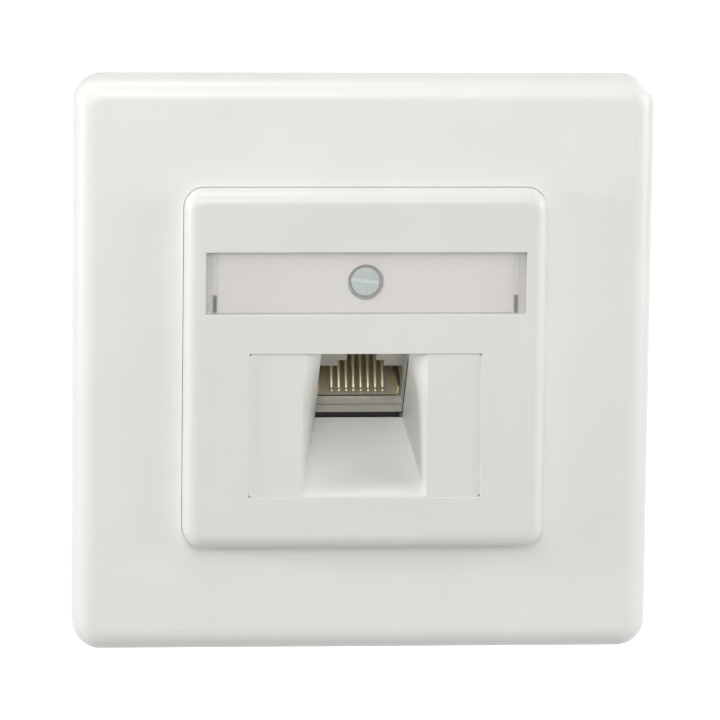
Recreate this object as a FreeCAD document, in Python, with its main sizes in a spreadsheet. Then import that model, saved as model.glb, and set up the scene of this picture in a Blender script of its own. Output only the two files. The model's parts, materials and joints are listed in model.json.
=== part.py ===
# Flush network wall outlet: cover frame, central plate, slanted outlet insert and jack module.
# X runs to the right, Z up and +Y into the wall; the wall's surface is the plane Y = 0.
import FreeCAD, Part
import math
import os
import re
import Sketcher

# Driving dimensions in millimetres, and angles in degrees.
SIZES = {
    # Cover frame
    "frame_side": 80.0,
    "frame_depth": 7.4,
    "frame_corner": 4.0,
    "frame_edge": 3.0,
    "frame_wall": 2.2,
    "frame_skin": 2.0,
    "ledge_width": 2.0,
    "ledge_thickness": 1.5,
    "collar_wall": 1.5,
    "rib_thickness": 1.0,
    "rib_spread": 24.0,
    "rib_gap": 0.2,
    # Central plate
    "plate_side": 50.0,
    "plate_front": 10.6,
    "plate_corner": 2.8,
    "plate_edge": 2.0,
    "plate_wall": 1.8,
    "plate_skin": 1.8,
    "plate_gap": 0.05,
    # Label recess, its clear window and the fixing screw behind it
    "recess_width": 44.2,
    "recess_height": 8.6,
    "recess_depth": 1.5,
    "recess_floor": 1.4,
    "recess_centre": 12.1,
    "label_inset": 1.7,
    "window_rim": 1.0,
    "leg_thickness": 0.4,
    "leg_height": 2.3,
    "leg_reach": 3.6,
    "window_thickness": 0.8,
    "window_gap": 0.1,
    "window_setback": 0.2,
    "label_thickness": 0.25,
    "boss_diameter": 8.0,
    "counterbore_diameter": 5.0,
    "counterbore_depth": 2.2,
    "plate_screw_head": 4.3,
    "plate_screw_head_height": 1.6,
    "plate_screw_shank": 2.5,
    "screw_end_gap": 0.2,
    "screw_slot_width": 0.6,
    "screw_slot_depth": 0.7,
    "screw_turn": -7.0,
    "screw_clearance": 0.3,
    # Outlet insert with its slanted chute
    "insert_width": 32.0,
    "insert_height": 20.0,
    "insert_top": 2.3,
    "insert_setback": 0.25,
    "insert_skin": 2.0,
    "insert_gap": 0.02,
    "insert_lip": 1.2,
    "insert_rim": 1.0,
    "insert_corner": 0.5,
    "chute_front_width": 17.2,
    "chute_rear_width": 12.2,
    "chute_wall": 1.5,
    "outlet_tilt": 42.0,
    # Support plate
    "support_gap": 2.3,
    "support_thickness": 1.5,
    "support_corner": 6.0,
    "support_window_side": 3.0,
    "support_window_clear": 2.1,
    "support_window_bottom": 22.0,
    "wall_screw_pitch": 60.0,
    "wall_slot_width": 4.2,
    "wall_slot_length": 7.0,
    # Die-cast housing, in its own tilted frame
    "module_gap": 0.9,
    "rim_depth": 2.5,
    "rim_lip": 0.35,
    "rim_web": 0.8,
    "rim_groove": 0.15,
    "mouth_floor": 0.1,
    "housing_width": 28.0,
    "housing_top": 12.2,
    "housing_split": -5.0,
    "housing_bottom": -13.0,
    "housing_depth": 33.0,
    "housing_wall": 1.2,
    "housing_round": 1.0,
    "ear_depth": 7.0,
    "shelf_length": 7.5,
    "shelf_gap": 1.0,
    "shelf_height": 4.5,
    "flange_width": 44.0,
    "flange_rise": 0.2,
    "flange_top": 17.5,
    "flange_thickness": 2.0,
    "pillar_height": 1.1,
    "housing_screw_spread": 34.0,
    "housing_screw_shank": 3.0,
    "housing_screw_head": 5.5,
    "housing_screw_head_height": 1.8,
    "thread_gap": 0.03,
    # Hinged cover over the terminals
    "cover_gap": 0.3,
    "hinge_height": -11.6,
    "hinge_diameter": 2.0,
    "hinge_gap": 0.05,
    "knuckle_diameter": 3.0,
    # Network jack
    "jack_width": 15.8,
    "jack_top": 10.8,
    "jack_length": 14.0,
    "jack_gap": 0.1,
    "shield_sheet": 0.3,
    "port_width": 11.8,
    "port_floor": 0.4,
    "port_height": 6.9,
    "port_depth": 10.5,
    "key_width": 6.4,
    "key_height": 1.2,
    "latch_width": 4.1,
    "latch_height": 1.6,
    "contact_count": 8,
    "contact_pitch": 1.02,
    "contact_wire": 0.5,
    "contact_setback": 0.3,
    "contact_foot": 0.5,
    "contact_reach": 7.0,
    "contact_angle": 28.0,
    "tongue_length": 4.5,
    "tongue_height": 1.6,
    "tongue_lean": 1.0,
    # Circuit board and terminals
    "board_top": -1.2,
    "board_thickness": 1.6,
    "board_width": 24.0,
    "board_front": 4.0,
    "board_pillar": 5.0,
    "board_screw_spread": 19.6,
    "board_screw_inset": 2.8,
    "block_clear": 0.5,
    "block_width": 19.0,
    "block_front": 2.9,
    "block_height": 7.0,
    "block_space": 2.0,
    "terminal_pitch": 4.6,
    "wire_slot": 1.0,
    "wire_slot_depth": 4.5,
    "blade_width": 3.0,
    "blade_thickness": 0.5,
    "blade_setback": 1.2,
    "blade_slit": 0.4,
    "blade_slit_depth": 3.0,
    "small_screw_shank": 2.0,
    "small_screw_head": 3.8,
    "small_screw_head_height": 1.4,
    "small_screw_length": 4.0,
    # Cable clamp
    "cable_diameter": 6.4,
    "clamp_inset": 4.4,
    "clamp_length": 4.0,
    "clamp_width": 20.0,
    "clamp_sheet": 1.0,
    "clamp_screw_spread": 15.0,
}

V = FreeCAD.Vector
X_AXIS = V(1, 0, 0)

doc = FreeCAD.newDocument("NetworkOutlet")
sheet = doc.addObject("Spreadsheet::Sheet", "Sizes")
for row, (alias, number) in enumerate(SIZES.items(), start=1):
    sheet.set(f"A{row}", str(number))
    sheet.setAlias(f"A{row}", alias)
doc.recompute()


# Places that several pieces share, as expressions of the sizes

FRAME_OPENING = "(plate_side + 2 * plate_gap)"
LEDGE_OPENING = f"({FRAME_OPENING} - 2 * ledge_width)"
LEDGE_FRONT = "(support_thickness + ledge_thickness)"
FLANGE_FRONT = "(support_thickness + flange_thickness)"
PILLAR_FRONT = f"({FLANGE_FRONT} + pillar_height)"
RECESS_FLOOR = "(plate_front - recess_depth)"
RECESS_BACK = f"({RECESS_FLOOR} - recess_floor)"
RECESS_BOTTOM = "(recess_centre - recess_height / 2)"
PLATE_HOLLOW = "(plate_front - plate_skin)"
LABEL_WIDTH = "(recess_width - 2 * label_inset)"
SUPPORT_SIDE = "(frame_side - 2 * frame_wall - 2 * support_gap)"
WINDOW_HALF = "(recess_width / 2 - window_gap)"
LEG_SPOTS = [f"{side} * ({WINDOW_HALF} - window_rim - leg_thickness / 2)" for side in ("-1", "1")]
LEG_CENTRE = f"({RECESS_BOTTOM} + window_gap + leg_height / 2)"
WINDOW_FRONT = "(plate_front - window_setback)"
WINDOW_BACK = f"({WINDOW_FRONT} - window_thickness)"
HEAD_SEAT = f"({RECESS_FLOOR} - counterbore_depth)"
INSERT_FRONT = "(plate_front - insert_setback)"
INSERT_BOTTOM = "(insert_top - insert_height)"
INSERT_CENTRE = "(insert_top - insert_height / 2)"
PANEL_BACK = f"({INSERT_FRONT} - insert_skin)"
LIP_BACK = f"({PLATE_HOLLOW} - insert_lip)"
TILT = "(outlet_tilt * 1 deg)"
# The jack's face starts on this line of the wall plane and leans forward as it rises.
OUTLET_Z = f"({INSERT_BOTTOM} + {INSERT_FRONT} * tan{TILT})"
FACE_LENGTH = f"((insert_top - {OUTLET_Z}) / cos{TILT})"
HOUSING_SCREWS = [(f"{side} * housing_screw_spread / 2", "recess_centre") for side in ("-1", "1")]
TERMINALS = 4


# Helpers

def sized(text):
    """Write each size's name in an expression as its cell on the sheet."""
    return re.sub(r"[a-z_]+", lambda m: f"Sizes.{m[0]}" if m[0] in SIZES else m[0], text)


def value(text):
    """Work out an expression of sizes as a plain number."""
    result = sheet.evalExpression(sized(text))
    return float(getattr(result, "Value", result))


def bind(thing, **properties):
    """Bind properties such as Length or Radius to expressions of sizes."""
    for name, text in properties.items():
        thing.setExpression(name.replace("__", "."), sized(text))


def new_body(label, tilted=False):
    """Start a piece, in the wall's frame or in the frame of the tilted jack."""
    body = doc.addObject("PartDesign::Body", label)
    body.Label = label
    body.AllowCompound = True
    if tilted:
        body.Placement = FreeCAD.Placement(V(), FreeCAD.Rotation(X_AXIS, value("outlet_tilt")))
        bind(body, Placement__Base__z=OUTLET_Z, Placement__Rotation__Angle="outlet_tilt * 1 deg")
    return body


def box_loop(left, right, bottom, top):
    return [(left, bottom), (right, bottom), (right, top), (left, top)]


def centred_loop(width, height, x="0", z="0"):
    return box_loop(f"{x} - ({width}) / 2", f"{x} + ({width}) / 2",
                    f"{z} - ({height}) / 2", f"{z} + ({height}) / 2")


def place_point(sketch, geometry, point, x, y):
    """Tie one point of a sketch to its two coordinates."""
    for kind, text in (("DistanceX", x), ("DistanceY", y)):
        index = sketch.addConstraint(Sketcher.Constraint(kind, -1, 1, geometry, point, value(text)))
        sketch.setExpression(f"Constraints[{index}]", sized(text))


def draw_polygon(sketch, loop):
    corners = [V(value(x), value(y), 0) for x, y in loop]
    first = sketch.GeometryCount
    count = len(loop)
    for i in range(count):
        sketch.addGeometry(Part.LineSegment(corners[i], corners[(i + 1) % count]))
    for i in range(count):
        following = first + (i + 1) % count
        sketch.addConstraint(Sketcher.Constraint("Coincident", first + i, 2, following, 1))
    for i, (x, y) in enumerate(loop):
        place_point(sketch, first + i, 1, x, y)


def draw_circle(sketch, x, y, diameter):
    centre = V(value(x), value(y), 0)
    circle = sketch.addGeometry(Part.Circle(centre, V(0, 0, 1), value(diameter) / 2))
    place_point(sketch, circle, 3, x, y)
    index = sketch.addConstraint(Sketcher.Constraint("Diameter", circle, value(diameter)))
    sketch.setExpression(f"Constraints[{index}]", sized(diameter))


def new_sketch(body, name, plane, start, loops=(), circles=()):
    """Draw a sketch parallel to an origin plane, moved by start along the plane's normal."""
    support = next(item for item in body.Origin.OriginFeatures if item.Role == plane)
    sketch = body.newObject("Sketcher::SketchObject", name)
    sketch.AttachmentSupport = (support, [""])
    sketch.MapMode = "FlatFace"
    sketch.setExpression("AttachmentOffset.Base.z", sized(start))
    for loop in loops:
        draw_polygon(sketch, loop)
    for x, y, diameter in circles:
        draw_circle(sketch, x, y, diameter)
    return sketch


def pad(body, name, start, length, loops=(), circles=(), plane="XZ_Plane", stance=None):
    """Add a prism. On XZ_Plane, start counts from the wall to the front and so does length."""
    sketch = new_sketch(body, f"{name}_sketch", plane, start, loops, circles)
    if stance:
        stance(sketch, start)
    feature = body.newObject("PartDesign::Pad", name)
    feature.Profile = sketch
    bind(feature, Length=length)
    doc.recompute()
    return feature


def pocket(body, name, start, length, loops=(), circles=(), plane="XZ_Plane", stance=None):
    """Cut a prism. On XZ_Plane it goes from start towards the wall."""
    before = body.Shape.Volume
    sketch = new_sketch(body, f"{name}_sketch", plane, start, loops, circles)
    if stance:
        stance(sketch, start)
    feature = body.newObject("PartDesign::Pocket", name)
    feature.Profile = sketch
    bind(feature, Length=length)
    doc.recompute()
    if body.Shape.Volume >= before:
        raise RuntimeError(f"{body.Label}: {name} cuts nothing")
    return feature


def fillet(body, name, radius, chosen):
    """Round the edges of the body's tip that the test picks."""
    base = body.Tip
    edges = [f"Edge{i}" for i, edge in enumerate(base.Shape.Edges, start=1) if chosen(edge)]
    feature = body.newObject("PartDesign::Fillet", name)
    feature.Base = (base, edges)
    bind(feature, Radius=radius)
    doc.recompute()
    return feature


def runs_along(edge, axis):
    """Say whether a straight edge runs along an axis."""
    if edge.Curve.TypeId != "Part::GeomLine":
        return False
    return abs(abs(edge.Curve.Direction.dot(axis)) - 1) < 1e-6


def lies_at_front(edge, front):
    """Say whether an edge lies in the plane at a distance in front of the wall."""
    box = edge.BoundBox
    return abs(box.YMin + front) < 1e-6 and abs(box.YMax + front) < 1e-6


def stands_at_corner(edge, half):
    """Say whether an edge stands on a corner of a centred square of a half side."""
    middle = edge.CenterOfMass
    return abs(abs(middle.x) - half) < 1e-6 and abs(abs(middle.z) - half) < 1e-6


def runs_back_at(edge, height):
    """Say whether a straight edge runs from front to back at a height."""
    return runs_along(edge, V(0, 1, 0)) and abs(edge.CenterOfMass.z - height) < 1e-6


def turned_loop(length, width, x, z, angle):
    """A rectangle about a centre, turned by an angle in degrees."""
    corners = []
    for along, across in ((-1, -1), (1, -1), (1, 1), (-1, 1)):
        run = f"{along} * ({length}) / 2"
        rise = f"{across} * ({width}) / 2"
        turn = f"({angle} * 1 deg)"
        corners.append((f"{x} + {run} * cos{turn} - {rise} * sin{turn}",
                        f"{z} + {run} * sin{turn} + {rise} * cos{turn}"))
    return corners


def hexagon_loop(across, x, z):
    """A hexagon about a centre, with its width between opposite corners."""
    return [(f"{x} + ({across}) / 2 * cos({angle} deg)", f"{z} + ({across}) / 2 * sin({angle} deg)")
            for angle in range(0, 360, 60)]


def draw_slot(sketch, x, z, length, width, level):
    """Draw a slot with round ends about a centre, level or upright."""
    reach = f"(({length}) - ({width})) / 2"
    level_ends = [(f"{x} - {reach}", z), (f"{x} + {reach}", z)]
    upright_ends = [(x, f"{z} - {reach}"), (x, f"{z} + {reach}")]
    ends = level_ends if level else upright_ends
    radius = value(width) / 2
    first = sketch.GeometryCount
    centres = [V(value(a), value(b), 0) for a, b in ends]
    start = 90 if level else 180
    angles = [(start, start + 180), (start + 180, start + 360)]
    for centre, (low, high) in zip(centres, angles):
        circle = Part.Circle(centre, V(0, 0, 1), radius)
        sketch.addGeometry(Part.ArcOfCircle(circle, math.radians(low), math.radians(high)))
    arcs = [sketch.Geometry[first], sketch.Geometry[first + 1]]
    sketch.addGeometry(Part.LineSegment(arcs[0].EndPoint, arcs[1].StartPoint))
    sketch.addGeometry(Part.LineSegment(arcs[1].EndPoint, arcs[0].StartPoint))
    joins = [(0, 2, 2, 1), (2, 2, 1, 1), (1, 2, 3, 1), (3, 2, 0, 1)]
    for one, one_end, other, other_end in joins:
        sketch.addConstraint(Sketcher.Constraint("Tangent", first + one, one_end, first + other, other_end))
    for i, (a, b) in enumerate(ends):
        place_point(sketch, first + i, 3, a, b)
    index = sketch.addConstraint(Sketcher.Constraint("Radius", first, radius))
    sketch.setExpression(f"Constraints[{index}]", sized(f"({width}) / 2"))


def lean(sketch, height, start, angle):
    """Lean a sketch on XZ_Plane about a level line, after moving it along its new normal."""
    turn = f"({angle} * 1 deg)"
    sketch.AttachmentOffset = FreeCAD.Placement(V(), FreeCAD.Rotation(X_AXIS, value(angle)))
    base_y = f"{height[0]} - ({start}) * sin{turn}"
    base_z = f"{height[1]} + ({start}) * cos{turn}"
    bind(sketch, AttachmentOffset__Base__y=base_y, AttachmentOffset__Base__z=base_z,
         AttachmentOffset__Rotation__Angle=f"{angle} * 1 deg")


def lie_on_face(sketch, start):
    """Lay a sketch of the wall's frame parallel to the jack's face."""
    lean(sketch, (OUTLET_Z, "0"), start, "outlet_tilt")


def stand_upright(sketch, start):
    """Stand a sketch of the tilted frame parallel to the wall."""
    lean(sketch, (f"-{OUTLET_Z} * cos{TILT}", f"{OUTLET_Z} * sin{TILT}"), start, "(-outlet_tilt)")


def repeat_along_x(body, name, feature, pitch, count):
    pattern = body.newObject("PartDesign::LinearPattern", name)
    pattern.Originals = [feature]
    axis = next(item for item in body.Origin.OriginFeatures if item.Role == "X_Axis")
    pattern.Direction = (axis, [""])
    bind(pattern, Length=f"{pitch} * ({count} - 1)", Occurrences=count)
    body.Tip = pattern
    doc.recompute()


def hexagon_screws(label, head, shank, centres, plane="XZ_Plane", tilted=False):
    """Screws with hexagon heads; head and shank each give a width, a start and a length."""
    body = new_body(label, tilted)
    width, start, length = head
    pad(body, "heads", start, length, [hexagon_loop(width, x, z) for x, z in centres], plane=plane)
    width, start, length = shank
    pad(body, "shanks", start, length, circles=[(x, z, width) for x, z in centres], plane=plane)
    return body


# Cover frame: a hollow moulded square whose inner ledge rests on the support plate

def rib_loops():
    """Two ribs on each side of the frame, between its collar and its outer wall."""
    near = f"({FRAME_OPENING} / 2 + collar_wall)"
    far = "(frame_side / 2 - frame_wall)"
    loops = []
    for place in ("-rib_spread / 2", "rib_spread / 2"):
        across = (f"{place} - rib_thickness / 2", f"{place} + rib_thickness / 2")
        for along in ((f"-{far}", f"-{near}"), (near, far)):
            loops += [box_loop(*across, *along), box_loop(*along, *across)]
    return loops


def make_cover_frame():
    body = new_body("cover_frame")
    outside = centred_loop("frame_side", "frame_side")
    inside = centred_loop("frame_side - 2 * frame_wall", "frame_side - 2 * frame_wall")
    collar = centred_loop(f"{FRAME_OPENING} + 2 * collar_wall", f"{FRAME_OPENING} + 2 * collar_wall")
    opening = centred_loop(FRAME_OPENING, FRAME_OPENING)
    ledge = centred_loop(LEDGE_OPENING, LEDGE_OPENING)
    pad(body, "frame_block", "0", "frame_depth", [outside])
    fillet(body, "frame_corners", "frame_corner", lambda edge: runs_along(edge, V(0, 1, 0)))
    front = value("frame_depth")
    fillet(body, "frame_round", "frame_edge", lambda edge: lies_at_front(edge, front))
    pocket(body, "frame_seat", "support_thickness", "support_thickness", [inside])
    pocket(body, "frame_hollow", "frame_depth - frame_skin",
           "frame_depth - frame_skin - support_thickness", [inside, collar])
    pocket(body, "frame_opening", "frame_depth", f"frame_depth - {LEDGE_FRONT}", [opening])
    half = value(FRAME_OPENING) / 2
    fillet(body, "opening_corners", "plate_corner + plate_gap", lambda edge: stands_at_corner(edge, half))
    pocket(body, "frame_ledge", LEDGE_FRONT, "ledge_thickness", [ledge])
    rib_start = "(support_thickness + rib_gap)"
    pad(body, "ribs", rib_start, f"frame_depth - frame_skin - {rib_start}", rib_loops())
    return body


# Central plate: a hollow cap whose skirt presses the frame's ledge on the support plate

def make_central_plate():
    body = new_body("central_plate")
    outside = centred_loop("plate_side", "plate_side")
    inside = centred_loop("plate_side - 2 * plate_wall", "plate_side - 2 * plate_wall")
    recess = centred_loop("recess_width", "recess_height", z="recess_centre")
    trough = centred_loop("recess_width + 2 * recess_floor", "recess_height + 2 * recess_floor",
                          z="recess_centre")
    seat = centred_loop("insert_width + 2 * insert_gap", "insert_height + 2 * insert_gap",
                        z=INSERT_CENTRE)
    pad(body, "plate_block", LEDGE_FRONT, f"plate_front - {LEDGE_FRONT}", [outside])
    fillet(body, "plate_corners", "plate_corner", lambda edge: runs_along(edge, V(0, 1, 0)))
    front = value("plate_front")
    fillet(body, "plate_round", "plate_edge", lambda edge: lies_at_front(edge, front))
    pocket(body, "plate_hollow", PLATE_HOLLOW, f"{PLATE_HOLLOW} - {LEDGE_FRONT}", [inside])
    pad(body, "recess_trough", RECESS_BACK, f"{PLATE_HOLLOW} - {RECESS_BACK}", [trough])
    pad(body, "screw_boss", PILLAR_FRONT, f"{RECESS_FLOOR} - {PILLAR_FRONT}",
        circles=[("0", "recess_centre", "boss_diameter")])
    pocket(body, "label_recess", "plate_front", "recess_depth", [recess])
    slots = [centred_loop("leg_thickness + 2 * window_gap", "leg_height + 2 * window_gap", x=x, z=LEG_CENTRE)
             for x in LEG_SPOTS]
    slot_depth = f"{RECESS_FLOOR} - {WINDOW_BACK} + leg_reach + window_gap"
    pocket(body, "leg_slots", RECESS_FLOOR, slot_depth, slots)
    pocket(body, "counterbore", RECESS_FLOOR, "counterbore_depth",
           circles=[("0", "recess_centre", "counterbore_diameter")])
    pocket(body, "screw_hole", RECESS_FLOOR, f"{RECESS_FLOOR} - {PILLAR_FRONT}",
           circles=[("0", "recess_centre", "plate_screw_shank + 2 * screw_clearance")])
    pocket(body, "insert_seat", "plate_front", "plate_skin", [seat])
    return body


# Outlet insert: a panel with a chute that slants down and out, held by a lip behind the plate

def make_outlet_insert():
    body = new_body("outlet_insert")
    panel = centred_loop("insert_width", "insert_height", z=INSERT_CENTRE)
    lip = centred_loop("insert_width + 2 * insert_lip", "insert_height + 2 * insert_lip",
                       z=INSERT_CENTRE)
    lip_inside = centred_loop("insert_width - 2 * insert_rim", "insert_height - 2 * insert_rim",
                              z=INSERT_CENTRE)
    pad(body, "panel", PANEL_BACK, "insert_skin", [panel])
    fillet(body, "panel_corners", "insert_corner", lambda edge: runs_along(edge, V(0, 1, 0)))
    pad(body, "lip", LIP_BACK, "insert_lip", [lip])
    pocket(body, "lip_hollow", PANEL_BACK, f"{PANEL_BACK} - {LIP_BACK}", [lip_inside])
    # The chute's outside, seen from the side, between its ramp and the plane of the jack's face.
    outside = "(chute_front_width + 2 * chute_wall)"
    side = [(f"-{INSERT_FRONT}", INSERT_BOTTOM),
            (f"chute_wall / sin{TILT} - {INSERT_FRONT}", INSERT_BOTTOM),
            (f"chute_wall * sin{TILT}", f"{OUTLET_Z} - chute_wall * cos{TILT}"),
            (f"-(insert_top - {OUTLET_Z}) * tan{TILT}", "insert_top"),
            (f"-{INSERT_FRONT}", "insert_top")]
    pad(body, "chute_block", f"-{outside} / 2", outside, [side], plane="YZ_Plane")
    # The chute narrows from the panel's front to the jack's face.
    mouth = centred_loop("chute_front_width", "insert_height", z=INSERT_CENTRE)
    face = box_loop("-chute_rear_width / 2", "chute_rear_width / 2", "0", FACE_LENGTH)
    chute = body.newObject("PartDesign::SubtractiveLoft", "chute")
    chute.Profile = new_sketch(body, "chute_mouth", "XZ_Plane", INSERT_FRONT, [mouth])
    rear = new_sketch(body, "chute_face", "XZ_Plane", "0", [face])
    lie_on_face(rear, "0")
    chute.Sections = [(rear, [""])]
    chute.Ruled = True
    doc.recompute()
    body.Tip = chute
    pocket(body, "chute_end", "0", "insert_skin", [face], stance=lie_on_face)
    return body


# Label strip, its clear window, and the screw that holds plate and frame

def make_label_strip():
    body = new_body("label_strip")
    strip = centred_loop(f"{LABEL_WIDTH} - 2 * window_gap", "recess_height - 2 * window_gap",
                         z="recess_centre")
    pad(body, "strip", RECESS_FLOOR, "label_thickness", [strip],
        [("0", "recess_centre", "counterbore_diameter")])
    return body


def make_label_window():
    body = new_body("label_window")
    height = "(recess_height - 2 * window_gap)"
    pane = centred_loop(f"2 * {WINDOW_HALF}", height, z="recess_centre")
    ends = [f"{side} * ({WINDOW_HALF} - window_rim / 2)" for side in ("-1", "1")]
    rims = [centred_loop("window_rim", height, x=x, z="recess_centre") for x in ends]
    legs = [centred_loop("leg_thickness", "leg_height", x=x, z=LEG_CENTRE) for x in LEG_SPOTS]
    pad(body, "pane", WINDOW_BACK, "window_thickness", [pane])
    pad(body, "rims", RECESS_FLOOR, f"{WINDOW_BACK} - {RECESS_FLOOR}", rims)
    pad(body, "legs", f"{WINDOW_BACK} - leg_reach", "leg_reach", legs)
    return body


def make_plate_screw():
    body = new_body("plate_screw")
    pad(body, "head", HEAD_SEAT, "plate_screw_head_height",
        circles=[("0", "recess_centre", "plate_screw_head")])
    pad(body, "shank", "screw_end_gap", f"{HEAD_SEAT} - screw_end_gap",
        circles=[("0", "recess_centre", "plate_screw_shank")])
    slot = turned_loop("2 * plate_screw_head", "screw_slot_width", "0", "recess_centre", "screw_turn")
    pocket(body, "slot", f"{HEAD_SEAT} + plate_screw_head_height", "screw_slot_depth", [slot])
    return body


# Support plate: the steel plate on the wall that carries everything

def make_support_plate():
    body = new_body("support_plate")
    outline = centred_loop(SUPPORT_SIDE, SUPPORT_SIDE)
    half = "(housing_width / 2 + support_window_side)"
    top = f"{OUTLET_Z} + housing_top / cos{TILT} + support_window_clear"
    window = box_loop(f"-{half}", half, "-support_window_bottom", top)
    pad(body, "plate", "0", "support_thickness", [outline])
    fillet(body, "corners", "support_corner", lambda edge: runs_along(edge, V(0, 1, 0)))
    pocket(body, "window", "support_thickness", "support_thickness", [window])
    pitch = "wall_screw_pitch / 2"
    spots = [(f"-{pitch}", "0", True), (pitch, "0", True), ("0", f"-{pitch}", False), ("0", pitch, False)]
    slots = new_sketch(body, "wall_slots_sketch", "XZ_Plane", "support_thickness")
    for x, z, level in spots:
        draw_slot(slots, x, z, "wall_slot_length", "wall_slot_width", level)
    cut = body.newObject("PartDesign::Pocket", "wall_slots")
    cut.Profile = slots
    bind(cut, Length="support_thickness")
    doc.recompute()
    threads = [("0", "recess_centre", "plate_screw_shank + 2 * thread_gap")]
    threads += [(x, z, "housing_screw_shank + 2 * thread_gap") for x, z in HOUSING_SCREWS]
    pocket(body, "threads", "support_thickness", "support_thickness", circles=threads)
    return body


# Die-cast housing: a tilted shell for the jack, hung from a flange on the support plate

JACK_FACE = "(module_gap + rim_depth)"
INNER_TOP = "(housing_top - housing_wall)"
INNER_HALF = "(housing_width / 2 - housing_wall)"
SHELF_FRONT = "(housing_depth - shelf_length)"
BOARD_BACK = f"({SHELF_FRONT} - shelf_gap)"
BOARD_SCREW_DEPTH = f"({BOARD_BACK} - board_screw_inset)"
CLAMP_DEPTH = "(housing_depth - clamp_inset)"
HINGE_DEPTH = f"({JACK_FACE} + knuckle_diameter / 2 + cover_gap)"
FLANGE_BOTTOM = f"({OUTLET_Z} + ({INNER_TOP} - support_thickness * sin{TILT}) / cos{TILT} + flange_rise)"
BOARD_SPOTS = [(f"{side} * board_screw_spread / 2", BOARD_SCREW_DEPTH) for side in ("-1", "1")]
CLAMP_SPOTS = [(f"{side} * clamp_screw_spread / 2", CLAMP_DEPTH) for side in ("-1", "1")]


def make_housing_body():
    body = new_body("housing_body", tilted=True)
    half = "housing_width / 2"
    shell = box_loop(f"-{half}", half, "housing_split", "housing_top")
    apron = box_loop(f"-{half}", half, "housing_bottom", "housing_split")
    ears = [box_loop(f"-{half}", f"-{INNER_HALF}", "housing_bottom", "housing_split"),
            box_loop(INNER_HALF, half, "housing_bottom", "housing_split")]
    cavity = box_loop(f"-{INNER_HALF}", INNER_HALF, "housing_split", INNER_TOP)
    shelf = box_loop(f"-{INNER_HALF}", INNER_HALF, "housing_split", "housing_split + shelf_height")
    mouth = box_loop("-chute_rear_width / 2", "chute_rear_width / 2", "mouth_floor", "housing_top")
    groove = box_loop("-chute_rear_width / 2", "chute_rear_width / 2",
                      "mouth_floor - rim_groove", "mouth_floor")
    pad(body, "shell", "-housing_depth", "housing_depth - module_gap", [shell])
    top = value("housing_top")
    fillet(body, "shell_rounds", "housing_round", lambda edge: runs_back_at(edge, top))
    pad(body, "apron", f"-{JACK_FACE}", "rim_depth", [apron])
    pad(body, "ears", "-ear_depth", "ear_depth - module_gap", ears)
    pocket(body, "cavity", f"-{JACK_FACE}", f"housing_depth - housing_wall - {JACK_FACE}", [cavity])
    pad(body, "shelf", "-housing_depth", f"housing_depth - {SHELF_FRONT}", [shelf])
    pocket(body, "mouth", "-module_gap", "rim_depth", [mouth])
    undercut = box_loop("-chute_rear_width / 2", "chute_rear_width / 2",
                        "housing_split", "mouth_floor - rim_lip")
    pocket(body, "rim_undercut", "-module_gap", "rim_depth - rim_web", [undercut])
    pocket(body, "rim_line", "-(module_gap + rim_depth / 2)", "rim_groove", [groove])
    # Pillars for the board, the cable's half groove, and the holes of the screws and the pin.
    pillars = [(x, y, "board_pillar") for x, y in BOARD_SPOTS]
    pad(body, "pillars", "board_top", f"{INNER_TOP} - board_top", circles=pillars, plane="XY_Plane")
    holes = [(x, y, "small_screw_shank + 2 * thread_gap") for x, y in BOARD_SPOTS]
    pocket(body, "pillar_holes", "board_top + small_screw_length", "small_screw_length",
           circles=holes, plane="XY_Plane")
    pocket(body, "cable_groove", f"-{SHELF_FRONT}", f"housing_depth - {SHELF_FRONT}",
           circles=[("0", "housing_split", "cable_diameter")])
    holes = [(x, y, "small_screw_shank + 2 * thread_gap") for x, y in CLAMP_SPOTS]
    pocket(body, "clamp_holes", "housing_split + small_screw_length", "small_screw_length",
           circles=holes, plane="XY_Plane")
    pin = [(HINGE_DEPTH, "hinge_height", "hinge_diameter + 2 * thread_gap")]
    pocket(body, "pin_holes", half, "housing_width", circles=pin, plane="YZ_Plane")
    # The flange lies on the support plate, so its sketches stand upright in the tilted shell.
    flange = box_loop("-flange_width / 2", "flange_width / 2", FLANGE_BOTTOM, "flange_top")
    pad(body, "flange", "support_thickness", "flange_thickness", [flange], stance=stand_upright)
    pad(body, "pillar", FLANGE_FRONT, "pillar_height",
        circles=[("0", "recess_centre", "boss_diameter")], stance=stand_upright)
    holes = [("0", "recess_centre", "plate_screw_shank + 2 * screw_clearance")]
    holes += [(x, z, "housing_screw_shank + 2 * screw_clearance") for x, z in HOUSING_SCREWS]
    pocket(body, "flange_holes", PILLAR_FRONT, f"{PILLAR_FRONT} - support_thickness", circles=holes,
           stance=stand_upright)
    return body


def make_housing_screws():
    head = ("housing_screw_head", FLANGE_FRONT, "housing_screw_head_height")
    return hexagon_screws("housing_screws", head, ("housing_screw_shank", "0", FLANGE_FRONT), HOUSING_SCREWS)


# Hinged shield cover over the terminals, and its pin

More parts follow.
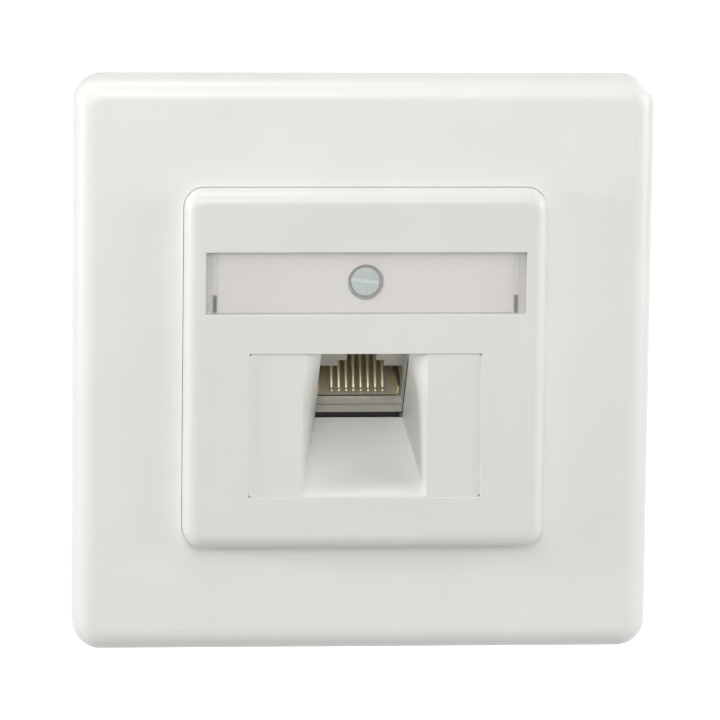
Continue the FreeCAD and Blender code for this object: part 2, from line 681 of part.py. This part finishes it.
def make_housing_cover():
    body = new_body("housing_cover", tilted=True)
    outer = f"({INNER_HALF} - cover_gap)"
    inner = f"({outer} - housing_wall)"
    rim = "(housing_split - cover_gap)"
    tray = [(f"-{outer}", rim), (f"-{outer}", "housing_bottom"), (outer, "housing_bottom"), (outer, rim),
            (inner, rim), (inner, "housing_bottom + housing_wall"),
            (f"-{inner}", "housing_bottom + housing_wall"), (f"-{inner}", rim)]
    wall = box_loop(f"-{outer}", outer, "housing_bottom", rim)
    pad(body, "tray", "-housing_depth", f"housing_depth - {HINGE_DEPTH}", [tray])
    pad(body, "end_wall", "-housing_depth", "housing_wall", [wall])
    bottom = value("housing_bottom")
    fillet(body, "tray_rounds", "housing_round", lambda edge: runs_back_at(edge, bottom))
    pad(body, "knuckle", f"-{outer}", f"2 * {outer}",
        circles=[(HINGE_DEPTH, "hinge_height", "knuckle_diameter")], plane="YZ_Plane")
    pocket(body, "cable_notch", "-(housing_depth - housing_wall)", "housing_wall",
           circles=[("0", "housing_split", "cable_diameter + 2 * cover_gap")])
    pocket(body, "pin_bore", outer, f"2 * {outer}",
           circles=[(HINGE_DEPTH, "hinge_height", "hinge_diameter + 2 * hinge_gap")], plane="YZ_Plane")
    return body


def make_hinge_pin():
    body = new_body("hinge_pin", tilted=True)
    pad(body, "pin", "-housing_width / 2", "housing_width",
        circles=[(HINGE_DEPTH, "hinge_height", "hinge_diameter")], plane="YZ_Plane")
    return body


# Network jack: folded shield, insulating body, contact wires and the shield's sprung tongues

PORT_SIDE = "(port_width / 2)"
PORT_TOP = "(port_floor + port_height)"
KEY_TOP = f"({PORT_TOP} + key_height)"
LATCH_TOP = f"({KEY_TOP} + latch_height)"
BODY_FRONT = f"({JACK_FACE} + shield_sheet + jack_gap)"
BODY_HALF = "(jack_width / 2 - shield_sheet - jack_gap)"


def port_loop():
    """The keyed opening: a wide port for the plug with two steps above it for the latch."""
    right = [(PORT_SIDE, "port_floor"), (PORT_SIDE, PORT_TOP), ("key_width / 2", PORT_TOP),
             ("key_width / 2", KEY_TOP), ("latch_width / 2", KEY_TOP), ("latch_width / 2", LATCH_TOP)]
    return right + [(f"-{x}", z) for x, z in reversed(right)]


def make_jack_shield():
    body = new_body("jack_shield", tilted=True)
    half = "jack_width / 2"
    inside = "(jack_width / 2 - shield_sheet)"
    can = box_loop(f"-{half}", half, "board_top", "jack_top")
    hollow = box_loop(f"-{inside}", inside, "board_top", "jack_top - shield_sheet")
    pad(body, "can", f"-({JACK_FACE} + jack_length)", "jack_length", [can])
    pocket(body, "hollow", f"-({JACK_FACE} + shield_sheet)", "jack_length - 2 * shield_sheet", [hollow])
    pocket(body, "port", f"-{JACK_FACE}", "shield_sheet", [port_loop()])
    return body


def make_jack_body():
    body = new_body("jack_body", tilted=True)
    block = box_loop(f"-{BODY_HALF}", BODY_HALF, "board_top", "jack_top - shield_sheet - jack_gap")
    length = "(jack_length - 2 * shield_sheet - 2 * jack_gap)"
    pad(body, "block", f"-({BODY_FRONT} + {length})", length, [block])
    pocket(body, "port", f"-{BODY_FRONT}", "port_depth", [port_loop()])
    return body


def make_jack_contacts():
    body = new_body("jack_contacts", tilted=True)
    foot = f"({BODY_FRONT} + contact_setback)"
    knee = f"({foot} + contact_foot)"
    tip = f"({knee} + contact_reach)"
    rise = "contact_reach * tan(contact_angle * 1 deg)"
    wire = [(foot, "port_floor"), (knee, "port_floor"), (tip, f"port_floor + {rise}"),
            (tip, f"port_floor + contact_wire + {rise}"), (knee, "port_floor + contact_wire"),
            (foot, "port_floor + contact_wire")]
    first = "-(contact_count - 1) / 2 * contact_pitch - contact_wire / 2"
    feature = pad(body, "wire", first, "contact_wire", [wire], plane="YZ_Plane")
    repeat_along_x(body, "wires", feature, "contact_pitch", "contact_count")
    return body


def make_shield_springs():
    body = new_body("shield_springs", tilted=True)
    loops = []
    for side in ("-", ""):
        near = f"({PORT_SIDE} - jack_gap)"
        far = f"({near} - tongue_lean)"
        back = f"({BODY_FRONT} + tongue_length)"
        loops.append([(f"{side}{near}", BODY_FRONT), (f"{side}{far}", back),
                      (f"{side}({far} - shield_sheet)", back),
                      (f"{side}({near} - shield_sheet)", BODY_FRONT)])
    pad(body, "tongues", "port_floor", "tongue_height", loops, plane="XY_Plane")
    return body


# Circuit board with its insulation displacement terminals, facing the hinged cover

BOARD_FACE = "(board_top - board_thickness)"
BLOCK_FACE = f"({BOARD_FACE} - block_height)"
# The two blocks share the length of board between the housing's apron and the board screws.
LOWER_START = f"({JACK_FACE} + block_front)"
UPPER_END = f"({BOARD_SCREW_DEPTH} - small_screw_head / 2 - block_clear)"
BLOCK_LENGTH = f"(({UPPER_END} - {LOWER_START} - block_space) / 2)"
BLOCK_STARTS = {"upper": f"({UPPER_END} - {BLOCK_LENGTH})", "lower": LOWER_START}
WIRE_SPOTS = [f"({index - (TERMINALS - 1) / 2}) * terminal_pitch" for index in range(TERMINALS)]


def make_circuit_board():
    body = new_body("circuit_board", tilted=True)
    outline = box_loop("-board_width / 2", "board_width / 2", "board_front", BOARD_BACK)
    holes = [(x, y, "small_screw_shank + 2 * screw_clearance") for x, y in BOARD_SPOTS]
    pad(body, "board", BOARD_FACE, "board_thickness", [outline], holes, plane="XY_Plane")
    return body


def make_terminal_block(place):
    body = new_body(f"terminal_block_{place}", tilted=True)
    start = BLOCK_STARTS[place]
    outline = box_loop("-block_width / 2", "block_width / 2", start, f"{start} + {BLOCK_LENGTH}")
    pad(body, "block", BLOCK_FACE, "block_height", [outline], plane="XY_Plane")
    slots = [box_loop(f"{x} - wire_slot / 2", f"{x} + wire_slot / 2", BLOCK_FACE,
                      f"{BLOCK_FACE} + wire_slot_depth") for x in WIRE_SPOTS]
    pocket(body, "wire_slots", f"-{start}", BLOCK_LENGTH, slots)
    seats = [centred_loop("blade_width + 2 * jack_gap", "blade_thickness + 2 * jack_gap", x=x,
                          z=f"({start} + {BLOCK_LENGTH} / 2)") for x in WIRE_SPOTS]
    pocket(body, "blade_seats", BOARD_FACE, "block_height - blade_setback + jack_gap", seats,
           plane="XY_Plane")
    return body


def make_terminal_contacts(place):
    body = new_body(f"terminal_contacts_{place}", tilted=True)
    middle = f"({BLOCK_STARTS[place]} + {BLOCK_LENGTH} / 2)"
    tip = f"({BLOCK_FACE} + blade_setback)"
    blades = []
    for x in WIRE_SPOTS:
        left = f"{x} - blade_width / 2"
        right = f"{x} + blade_width / 2"
        blades.append([(left, BOARD_FACE), (left, tip), (f"{x} - blade_slit", tip),
                       (f"{x} - blade_slit / 2", f"{tip} + blade_slit"),
                       (f"{x} - blade_slit / 2", f"{tip} + blade_slit_depth"),
                       (f"{x} + blade_slit / 2", f"{tip} + blade_slit_depth"),
                       (f"{x} + blade_slit / 2", f"{tip} + blade_slit"),
                       (f"{x} + blade_slit", tip), (right, tip), (right, BOARD_FACE)])
    pad(body, "blades", f"-{middle} - blade_thickness / 2", "blade_thickness", blades)
    return body


def small_screws(label, seat, centres):
    """Screws along the board's normal, with their heads on its terminal side."""
    head = ("small_screw_head", f"{seat} - small_screw_head_height", "small_screw_head_height")
    shank = ("small_screw_shank", seat, "small_screw_length")
    return hexagon_screws(label, head, shank, centres, plane="XY_Plane", tilted=True)


# Cable clamp: a saddle that presses the cable's screen into the housing's half groove

def make_cable_clamp():
    body = new_body("cable_clamp", tilted=True)
    start = f"-({CLAMP_DEPTH} + clamp_length / 2)"
    strap = box_loop("-clamp_width / 2", "clamp_width / 2", "housing_split - clamp_sheet", "housing_split")
    arch = [("0", "housing_split", "cable_diameter + 2 * clamp_sheet")]
    hollow = [("0", "housing_split", "cable_diameter")]
    above = box_loop("-clamp_width / 2", "clamp_width / 2", "housing_split",
                     "housing_split + cable_diameter")
    pad(body, "strap", start, "clamp_length", [strap])
    pad(body, "arch", start, "clamp_length", circles=arch)
    pocket(body, "hollow", f"{start} + clamp_length", "clamp_length", circles=hollow)
    pocket(body, "parting", f"{start} + clamp_length", "clamp_length", [above])
    holes = [(x, y, "small_screw_shank + 2 * screw_clearance") for x, y in CLAMP_SPOTS]
    pocket(body, "screw_holes", "housing_split", "clamp_sheet", circles=holes, plane="XY_Plane")
    return body


# Build every piece, check it and write it

pieces = [
    make_cover_frame(),
    make_central_plate(),
    make_outlet_insert(),
    make_label_strip(),
    make_label_window(),
    make_plate_screw(),
    make_support_plate(),
    make_housing_body(),
    make_housing_screws(),
    make_housing_cover(),
    make_hinge_pin(),
    make_jack_shield(),
    make_jack_body(),
    make_jack_contacts(),
    make_shield_springs(),
    make_circuit_board(),
    make_terminal_block("upper"),
    make_terminal_block("lower"),
    make_terminal_contacts("upper"),
    make_terminal_contacts("lower"),
    small_screws("board_screws", BOARD_FACE, BOARD_SPOTS),
    make_cable_clamp(),
    small_screws("clamp_screws", "(housing_split - clamp_sheet)", CLAMP_SPOTS),
]
doc.recompute()

for thing in doc.Objects:
    if "Invalid" in thing.State or "Error" in thing.State:
        raise RuntimeError(f"{thing.Label} failed: {thing.State}")
for piece in pieces:
    if piece.Shape.isNull() or not piece.Shape.isValid():
        raise RuntimeError(f"{piece.Label} has no valid shape")

os.makedirs("parts", exist_ok=True)
for piece in pieces:
    piece.Shape.exportStep(f"parts/{piece.Label}.step")
    print(piece.Label, len(piece.Shape.Solids), round(piece.Shape.Volume, 2))
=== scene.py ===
# Looks of the network wall outlet: camera, light and the finish of every piece.
import json
import math

import bpy
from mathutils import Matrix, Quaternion, Vector


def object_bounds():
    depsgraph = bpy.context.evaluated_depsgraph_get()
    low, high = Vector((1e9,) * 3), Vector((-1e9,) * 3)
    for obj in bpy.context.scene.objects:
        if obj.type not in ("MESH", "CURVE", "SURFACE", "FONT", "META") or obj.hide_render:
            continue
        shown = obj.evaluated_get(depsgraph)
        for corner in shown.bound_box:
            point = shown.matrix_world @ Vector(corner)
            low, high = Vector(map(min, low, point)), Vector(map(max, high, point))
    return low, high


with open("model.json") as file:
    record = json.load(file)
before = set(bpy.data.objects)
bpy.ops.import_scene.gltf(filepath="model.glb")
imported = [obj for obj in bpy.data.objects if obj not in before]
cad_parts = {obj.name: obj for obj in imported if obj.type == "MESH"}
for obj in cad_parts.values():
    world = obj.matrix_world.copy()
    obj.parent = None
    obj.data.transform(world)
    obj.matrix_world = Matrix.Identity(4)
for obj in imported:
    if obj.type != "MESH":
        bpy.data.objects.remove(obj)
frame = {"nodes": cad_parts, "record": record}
nodes = frame["nodes"]
cad_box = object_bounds()

MM = 0.001

# Camera: the photograph's viewing angle in degrees, distances in metres, sensor in millimetres
VIEW_AZIMUTH = -5.1
VIEW_ELEVATION = 9.57
VIEW_ROLL = 0.69
VIEW_DISTANCE = 0.9
VIEW_TARGET = Vector((0.000119, 0.0, -0.00029))
SENSOR_WIDTH = 36.0
FIELD_RATIO = 8.985
NEAREST_SEEN = 0.01

# Lamps: places and widths in metres, powers in watts
LAMPS = {
    "key": {"place": (-0.08, -0.23, 0.23), "width": 0.28, "power": 0.35},
    "top": {"place": (-0.05, -0.035, 0.5), "width": 0.08, "power": 0.5},
    "left": {"place": (-0.5, -0.065, 0.08), "width": 0.06, "power": 1.1},
    "right": {"place": (0.5, -0.12, 0.1), "width": 0.3, "power": 1.2},
    "front": {"place": (-0.05, -0.75, 0.33), "width": 0.3, "power": 1.5},
    "back": {"place": (0.4, 0.45, 0.25), "width": 0.2, "power": 0.9},
}

# Sky: how strongly it lights the part, and how bright it is to the eye
SKY_COLOUR = (1.0, 1.0, 1.0)
SKY_LIGHT = 0.16
SKY_SEEN = 1.0

# Floor, in metres
FLOOR_HALF = 3.0
FLOOR_DROP = 0.03
FLOOR_COLOUR = (0.5, 0.5, 0.5)
FLOOR_ROUGHNESS = 0.9


# Node helpers

def new_material(name):
    material = bpy.data.materials.new(name)
    material.use_nodes = True
    return material, material.node_tree, main_shader(material)


def main_shader(material):
    return material.node_tree.nodes["Principled BSDF"]


def add_node(tree, kind, **settings):
    node = tree.nodes.new(kind)
    for name, setting in settings.items():
        if name in node.inputs:
            node.inputs[name].default_value = setting
        else:
            setattr(node, name, setting)
    return node


def opaque(colour):
    return (*colour, 1.0)


def scaled(colour, factor):
    return tuple(channel * factor for channel in colour)


def place_coordinates(tree):
    """Coordinates in metres, fixed to the piece."""
    return add_node(tree, "ShaderNodeTexCoord").outputs["Object"]


def noise(tree, scale, detail=3.0, roughness=0.5, stretch=None):
    """Noise over the piece in cells per metre, stretched along an axis if asked."""
    texture = add_node(tree, "ShaderNodeTexNoise", Scale=scale, Detail=detail, Roughness=roughness)
    source = place_coordinates(tree)
    if stretch:
        mapping = add_node(tree, "ShaderNodeMapping", Scale=stretch)
        tree.links.new(source, mapping.inputs["Vector"])
        source = mapping.outputs["Vector"]
    tree.links.new(source, texture.inputs["Vector"])
    return texture.outputs["Fac"]


def ramp_between(tree, source, low, high, start=0.35, end=0.65):
    """Colours that run from low to high as the source rises."""
    ramp = add_node(tree, "ShaderNodeValToRGB")
    ramp.color_ramp.elements[0].position = start
    ramp.color_ramp.elements[0].color = opaque(low)
    ramp.color_ramp.elements[1].position = end
    ramp.color_ramp.elements[1].color = opaque(high)
    tree.links.new(source, ramp.inputs["Fac"])
    return ramp.outputs["Color"]


def spread(tree, source, low, high):
    """A value that runs from low to high as the source runs from nought to one."""
    span = add_node(tree, "ShaderNodeMapRange")
    span.inputs["To Min"].default_value = low
    span.inputs["To Max"].default_value = high
    tree.links.new(source, span.inputs["Value"])
    return span.outputs["Result"]


def tint(tree, shader, source, colour, darkest):
    """Base colour that varies with the source, down to a share of itself."""
    shades = ramp_between(tree, source, scaled(colour, darkest), colour)
    tree.links.new(shades, shader.inputs["Base Color"])


def vary_roughness(tree, shader, source, low, high):
    tree.links.new(spread(tree, source, low, high), shader.inputs["Roughness"])


def add_bump(tree, shader, source, strength, depth):
    bump = add_node(tree, "ShaderNodeBump", Strength=strength, Distance=depth)
    tree.links.new(source, bump.inputs["Height"])
    tree.links.new(bump.outputs["Normal"], shader.inputs["Normal"])


def show_shader(tree, shader_output):
    tree.links.new(shader_output, tree.nodes["Material Output"].inputs["Surface"])


# Masks, which are one on a part of the surface and nought elsewhere

# Cosine of the widest angle at which a face still looks along a direction
FACING_COSINE = 0.9

# Places of the Mix node's colour sockets, which share their names with sockets of other types
MIX_FACTOR = 0
MIX_BARE = 6
MIX_COVER = 7
MIX_RESULT = 2


def above(tree, source, limit):
    mask = add_node(tree, "ShaderNodeMath", operation="GREATER_THAN")
    tree.links.new(source, mask.inputs[0])
    mask.inputs[1].default_value = limit
    return mask.outputs["Value"]


def facing(tree, direction):
    """Mask of the faces that look along a direction."""
    normal = add_node(tree, "ShaderNodeNewGeometry").outputs["True Normal"]
    along = add_node(tree, "ShaderNodeVectorMath", operation="DOT_PRODUCT")
    tree.links.new(normal, along.inputs[0])
    along.inputs[1].default_value = direction
    return above(tree, along.outputs["Value"], FACING_COSINE)


def distance_from_axis(tree, middle):
    """Distance from the line along Y through a point of the piece."""
    offset = add_node(tree, "ShaderNodeVectorMath", operation="SUBTRACT")
    tree.links.new(place_coordinates(tree), offset.inputs[0])
    offset.inputs[1].default_value = middle
    across = add_node(tree, "ShaderNodeVectorMath", operation="MULTIPLY")
    tree.links.new(offset.outputs["Vector"], across.inputs[0])
    across.inputs[1].default_value = (1.0, 0.0, 1.0)
    distance = add_node(tree, "ShaderNodeVectorMath", operation="LENGTH")
    tree.links.new(across.outputs["Vector"], distance.inputs[0])
    return distance.outputs["Value"]


def cover(tree, shader, mask, colour):
    """Put another colour where the mask is one."""
    paint = add_node(tree, "ShaderNodeMix", data_type="RGBA")
    base = shader.inputs["Base Color"]
    tree.links.new(mask, paint.inputs[MIX_FACTOR])
    tree.links.new(base.links[0].from_socket, paint.inputs[MIX_BARE])
    paint.inputs[MIX_COVER].default_value = opaque(colour)
    tree.links.new(paint.outputs[MIX_RESULT], base)


# Moulded plastic
PLASTIC_CLOUDS = 60.0
PLASTIC_DARKEST = 0.97
PLASTIC_GLOSS_PATCHES = 900.0
PLASTIC_GLOSS_SPREAD = 0.05
PLASTIC_IOR = 1.5
PLASTIC_GRAIN = 9000.0
PLASTIC_GRAIN_STRENGTH = 0.25
PLASTIC_GRAIN_DEPTH = 0.004 * MM


def plastic(name, colour, roughness):
    """Moulded plastic: a fine grain, and a faint cloudiness in its colour and gloss."""
    material, tree, shader = new_material(name)
    tint(tree, shader, noise(tree, PLASTIC_CLOUDS, detail=2.0), colour, PLASTIC_DARKEST)
    patches = noise(tree, PLASTIC_GLOSS_PATCHES)
    vary_roughness(tree, shader, patches, roughness - PLASTIC_GLOSS_SPREAD, roughness + PLASTIC_GLOSS_SPREAD)
    shader.inputs["IOR"].default_value = PLASTIC_IOR
    grain = noise(tree, PLASTIC_GRAIN, detail=4.0)
    add_bump(tree, shader, grain, PLASTIC_GRAIN_STRENGTH, PLASTIC_GRAIN_DEPTH)
    return material


# Metal
METAL_CLOUDS = 350.0
METAL_DARKEST = 0.85
METAL_SMOOTHER = 0.07
METAL_ROUGHER = 0.09
METAL_GRAIN_DEPTH = 0.01 * MM


def metal(name, colour, roughness, stretch=None, grain=2500.0, strength=0.2, shine=1.0):
    """Metal whose grain may be drawn out along one axis; a dull skin lowers its shine."""
    material, tree, shader = new_material(name)
    tint(tree, shader, noise(tree, METAL_CLOUDS, detail=4.0), colour, METAL_DARKEST)
    shader.inputs["Metallic"].default_value = shine
    grain_field = noise(tree, grain, stretch=stretch)
    vary_roughness(tree, shader, grain_field, roughness - METAL_SMOOTHER, roughness + METAL_ROUGHER)
    add_bump(tree, shader, grain_field, strength, METAL_GRAIN_DEPTH)
    return material


def metal_with_painted_shade(name, colour, roughness, painted_shade, direction, **settings):
    """Metal with painted shade, near black and without shine, on the faces that look along a direction."""
    material = metal(name, colour, roughness, **settings)
    tree = material.node_tree
    shader = main_shader(material)
    # Painted shade: near black and without shine on the faces that look along the direction.
    mask = facing(tree, direction)
    cover(tree, shader, mask, painted_shade)
    shine = shader.inputs["Metallic"]
    tree.links.new(spread(tree, mask, shine.default_value, 0.0), shine)
    return material


# Slotted screw: colour and depth of the painted light on its slot floor, and colour and width of the painted
# shadow round its head's edge
SLOT_PAINTED_LIGHT = (0.55, 0.66, 0.66)
SLOT_PAINTED_LIGHT_DEPTH = 0.1 * MM
HEAD_EDGE_PAINTED_SHADOW = (0.008, 0.01, 0.01)
HEAD_EDGE_PAINTED_SHADOW_WIDTH = 0.2 * MM


def screw_metal(name, colour, roughness, screw, **settings):
    """Plating of a slotted screw that faces the front, with painted light on the slot floor and a painted
    shadow at the head's edge.
    """
    material = metal(name, colour, roughness, **settings)
    tree = material.node_tree
    shader = main_shader(material)
    corners = [Vector(corner) for corner in screw.bound_box]
    middle = sum(corners, Vector()) / len(corners)
    head_radius = max(corner.x for corner in corners) - middle.x
    head_face = min(corner.y for corner in corners)
    place = add_node(tree, "ShaderNodeSeparateXYZ")
    tree.links.new(place_coordinates(tree), place.inputs["Vector"])
    # Painted light: the slot floor is lighter, standing in for the light that falls on it.
    below_face = above(tree, place.outputs["Y"], head_face + SLOT_PAINTED_LIGHT_DEPTH)
    cover(tree, shader, below_face, SLOT_PAINTED_LIGHT)
    # Painted shadow: a near-black ring at the head's edge, standing in for the shadow in the gap round the
    # head.
    at_edge = above(tree, distance_from_axis(tree, middle), head_radius - HEAD_EDGE_PAINTED_SHADOW_WIDTH)
    cover(tree, shader, at_edge, HEAD_EDGE_PAINTED_SHADOW)
    return material


# Clear plastic
CLEAR_IOR = 1.49
CLEAR_GLOSS_PATCHES = 700.0
CLEAR_SMOOTHEST = 0.08
CLEAR_ROUGHEST = 0.16
CLEAR_TINT = (0.985, 0.98, 0.97)


def clear_plastic(name, colour, haze):
    """Clear moulded plastic: mostly see-through, with a glossy, slightly hazy skin."""
    material, tree, shader = new_material(name)
    shader.inputs["Base Color"].default_value = opaque(colour)
    shader.inputs["IOR"].default_value = CLEAR_IOR
    vary_roughness(tree, shader, noise(tree, CLEAR_GLOSS_PATCHES), CLEAR_SMOOTHEST, CLEAR_ROUGHEST)
    see_through = add_node(tree, "ShaderNodeBsdfTransparent", Color=opaque(CLEAR_TINT))
    mix = add_node(tree, "ShaderNodeMixShader", Fac=haze)
    tree.links.new(see_through.outputs["BSDF"], mix.inputs[1])
    tree.links.new(shader.outputs["BSDF"], mix.inputs[2])
    show_shader(tree, mix.outputs["Shader"])
    return material


# Paper
PAPER_FIBRES = 5000.0
PAPER_FIBRE_STRETCH = (1.0, 1.0, 3.0)
PAPER_DARKEST = 0.96
PAPER_ROUGHNESS = 0.85
PAPER_FIBRE_STRENGTH = 0.3
PAPER_FIBRE_DEPTH = 0.01 * MM


def paper(name, colour):
    """Paper: matt, with a fine fibre in its colour and surface."""
    material, tree, shader = new_material(name)
    fibre = noise(tree, PAPER_FIBRES, detail=5.0, roughness=0.7, stretch=PAPER_FIBRE_STRETCH)
    tint(tree, shader, fibre, colour, PAPER_DARKEST)
    shader.inputs["Roughness"].default_value = PAPER_ROUGHNESS
    add_bump(tree, shader, fibre, PAPER_FIBRE_STRENGTH, PAPER_FIBRE_DEPTH)
    return material


# Circuit board
WEAVE = 1500.0
WEAVE_DARKEST = 0.88
WEAVE_STRENGTH = 0.15
WEAVE_DEPTH = 0.01 * MM
LACQUER_PATCHES = 500.0
LACQUER_SMOOTHEST = 0.25
LACQUER_ROUGHEST = 0.4
LACQUER_COAT = 0.3


def laminate(name, colour):
    """Circuit board: green lacquer over a woven glass cloth."""
    material, tree, shader = new_material(name)
    weave = add_node(tree, "ShaderNodeTexChecker", Scale=WEAVE)
    tree.links.new(place_coordinates(tree), weave.inputs["Vector"])
    tint(tree, shader, weave.outputs["Fac"], colour, WEAVE_DARKEST)
    vary_roughness(tree, shader, noise(tree, LACQUER_PATCHES), LACQUER_SMOOTHEST, LACQUER_ROUGHEST)
    shader.inputs["Coat Weight"].default_value = LACQUER_COAT
    add_bump(tree, shader, weave.outputs["Fac"], WEAVE_STRENGTH, WEAVE_DEPTH)
    return material


# Finish of each material slot
CASTING = {
    "colour": (0.80, 0.775, 0.72),
    "roughness": 0.55,
    "grain": 1800.0,
    "strength": 0.35,
    "shine": 0.45,
}
finishes = {
    "white_plastic": plastic("white_plastic", (0.80, 0.80, 0.765), roughness=0.36),
    "paper": paper("paper", (0.93, 0.92, 0.905)),
    "clear_plastic": clear_plastic("clear_plastic", (0.92, 0.91, 0.89), haze=0.22),
    "zinc_plated_steel": metal("zinc_plated_steel", (0.56, 0.60, 0.61), roughness=0.3, strength=0.3),
    "sheet_steel": metal("sheet_steel", (0.56, 0.57, 0.57), roughness=0.36, stretch=(8.0, 1.0, 0.6)),
    "die_cast": metal("die_cast", **CASTING),
    "nickel_sheet": metal("nickel_sheet", (0.45, 0.44, 0.40), roughness=0.34),
    "jack_plastic": plastic("jack_plastic", (0.50, 0.48, 0.385), roughness=0.45),
    "gold_plate": metal("gold_plate", (1.0, 0.87, 0.6), roughness=0.3, grain=600.0,
                        strength=0.02, shine=0.75),
    "board": laminate("board", (0.02, 0.16, 0.06)),
    "terminal_plastic": plastic("terminal_plastic", (0.68, 0.67, 0.62), roughness=0.45),
    "tin_plate": metal("tin_plate", (0.62, 0.61, 0.57), roughness=0.32),
}

# The casting's front rim looks along the line on which a plug comes out of the jack; it gets painted shade,
# near black, for the shade of the dark gap round the jack.
mounts = {mount["name"]: mount for mount in frame["record"]["mounts"]}
PLUG_WAY_OUT = Vector(mounts["plug_port"]["axis"])
RIM_PAINTED_SHADE = (0.012, 0.011, 0.01)
BLUE_ZINC = {
    "colour": (0.38, 0.49, 0.50),
    "roughness": 0.3,
    "strength": 0.3,
}

# Pieces whose look differs from that of their slot's other pieces
own_finishes = {
    # Painted light: the frame's plastic is lighter than the plate's, standing in for the extra light that
    # the frame's face catches.
    "cover_frame": plastic("frame_plastic", (0.86, 0.865, 0.83), roughness=0.34),
    "shield_springs": finishes["gold_plate"],
    # Painted light in the screw's slot and a painted shadow round its head.
    "plate_screw": screw_metal("blue_zinc", screw=nodes["plate_screw"], **BLUE_ZINC),
    # Painted shade on the casting's front rim, for the dark gap round the jack.
    "housing_body": metal_with_painted_shade("casting_with_painted_shade", painted_shade=RIM_PAINTED_SHADE, direction=PLUG_WAY_OUT, **CASTING),
}


# Edges: radii in millimetres by slot and by piece, the pieces whose edges stay sharp,
# and the angle between two faces from which their edge counts as sharp
EDGE_RADIUS = {
    "white_plastic": 0.12,
    "clear_plastic": 0.08,
    "paper": 0.02,
    "nickel_sheet": 0.04,
    "gold_plate": 0.2,
    "tin_plate": 0.05,
}
USUAL_EDGE = 0.1
OWN_EDGE_RADIUS = {"outlet_insert": 0.25}
SHARP_PIECES = {"plate_screw", "housing_cover"}
EDGE_SEGMENTS = 3
SHARP_FROM = math.radians(30)
WELD_DISTANCE = 0.001 * MM


def soften_edges(piece, radius):
    """Round the sharp edges, after joining the points that neighbouring faces share."""
    weld = piece.modifiers.new("weld", "WELD")
    weld.merge_threshold = WELD_DISTANCE
    bevel = piece.modifiers.new("soft_edges", "BEVEL")
    bevel.width = radius * MM
    bevel.segments = EDGE_SEGMENTS
    bevel.limit_method = "ANGLE"
    bevel.angle_limit = SHARP_FROM
    bevel.harden_normals = True


def dress(piece, slot):
    """Give a CAD piece its finish and its soft edges."""
    piece.data.materials.clear()
    piece.data.materials.append(own_finishes.get(piece.name, finishes[slot]))
    if piece.name not in SHARP_PIECES:
        usual = EDGE_RADIUS.get(slot, USUAL_EDGE)
        soften_edges(piece, OWN_EDGE_RADIUS.get(piece.name, usual))


for part in frame["record"]["subparts"]:
    dress(nodes[part["node"]], part["material_slot"])


# Stage: a pale floor, a white sky, the lamps and the camera

def seen_directly(tree):
    """One for rays from the camera, a mirror or a clear piece, else nought."""
    path = add_node(tree, "ShaderNodeLightPath")
    seen = path.outputs["Is Camera Ray"]
    for kind in ("Is Glossy Ray", "Is Transmission Ray"):
        either = add_node(tree, "ShaderNodeMath", operation="MAXIMUM")
        tree.links.new(seen, either.inputs[0])
        tree.links.new(path.outputs[kind], either.inputs[1])
        seen = either.outputs["Value"]
    return seen


def floor_material():
    """Pale floor that shows white to the camera and still takes the shadow."""
    material, tree, shader = new_material("pale_floor")
    shader.inputs["Base Color"].default_value = opaque(FLOOR_COLOUR)
    shader.inputs["Roughness"].default_value = FLOOR_ROUGHNESS
    glow = add_node(tree, "ShaderNodeEmission")
    tree.links.new(seen_directly(tree), glow.inputs["Strength"])
    total = add_node(tree, "ShaderNodeAddShader")
    tree.links.new(shader.outputs["BSDF"], total.inputs[0])
    tree.links.new(glow.outputs["Emission"], total.inputs[1])
    show_shader(tree, total.outputs["Shader"])
    return material


def make_floor():
    level = cad_box[0].z - FLOOR_DROP
    signs = [(-1, -1), (1, -1), (1, 1), (-1, 1)]
    corners = [(x * FLOOR_HALF, y * FLOOR_HALF, level) for x, y in signs]
    mesh = bpy.data.meshes.new("floor")
    mesh.from_pydata(corners, [], [(0, 1, 2, 3)])
    floor = bpy.data.objects.new("floor", mesh)
    floor.data.materials.append(floor_material())
    bpy.context.scene.collection.objects.link(floor)


def make_sky():
    world = bpy.data.worlds.new("studio")
    bpy.context.scene.world = world
    world.use_nodes = True
    tree = world.node_tree
    background = tree.nodes["Background"]
    background.inputs["Color"].default_value = opaque(SKY_COLOUR)
    strength = spread(tree, seen_directly(tree), SKY_LIGHT, SKY_SEEN)
    tree.links.new(strength, background.inputs["Strength"])


def make_lamp(name, place, width, power):
    """A round lamp that points at the frame's origin."""
    lamp = bpy.data.lights.new(name, "AREA")
    lamp.shape = "DISK"
    lamp.size = width
    lamp.energy = power
    holder = bpy.data.objects.new(name, lamp)
    holder.location = place
    holder.rotation_mode = "QUATERNION"
    holder.rotation_quaternion = (-Vector(place)).to_track_quat("-Z", "Y")
    bpy.context.scene.collection.objects.link(holder)


def make_camera():
    azimuth = math.radians(VIEW_AZIMUTH)
    elevation = math.radians(VIEW_ELEVATION)
    back = Vector((math.sin(azimuth) * math.cos(elevation),
                   -math.cos(azimuth) * math.cos(elevation),
                   math.sin(elevation)))
    camera = bpy.data.cameras.new("camera")
    camera.sensor_width = SENSOR_WIDTH
    camera.lens = FIELD_RATIO * SENSOR_WIDTH
    camera.clip_start = NEAREST_SEEN
    holder = bpy.data.objects.new("camera", camera)
    holder.location = VIEW_TARGET + back * VIEW_DISTANCE
    holder.rotation_mode = "QUATERNION"
    roll = Quaternion(back, math.radians(VIEW_ROLL))
    holder.rotation_quaternion = roll @ (-back).to_track_quat("-Z", "Y")
    bpy.context.scene.collection.objects.link(holder)
    bpy.context.scene.camera = holder


make_floor()
make_sky()
for lamp_name, lamp_settings in LAMPS.items():
    make_lamp(lamp_name, **lamp_settings)
make_camera()
bpy.context.scene.view_settings.view_transform = "Standard"
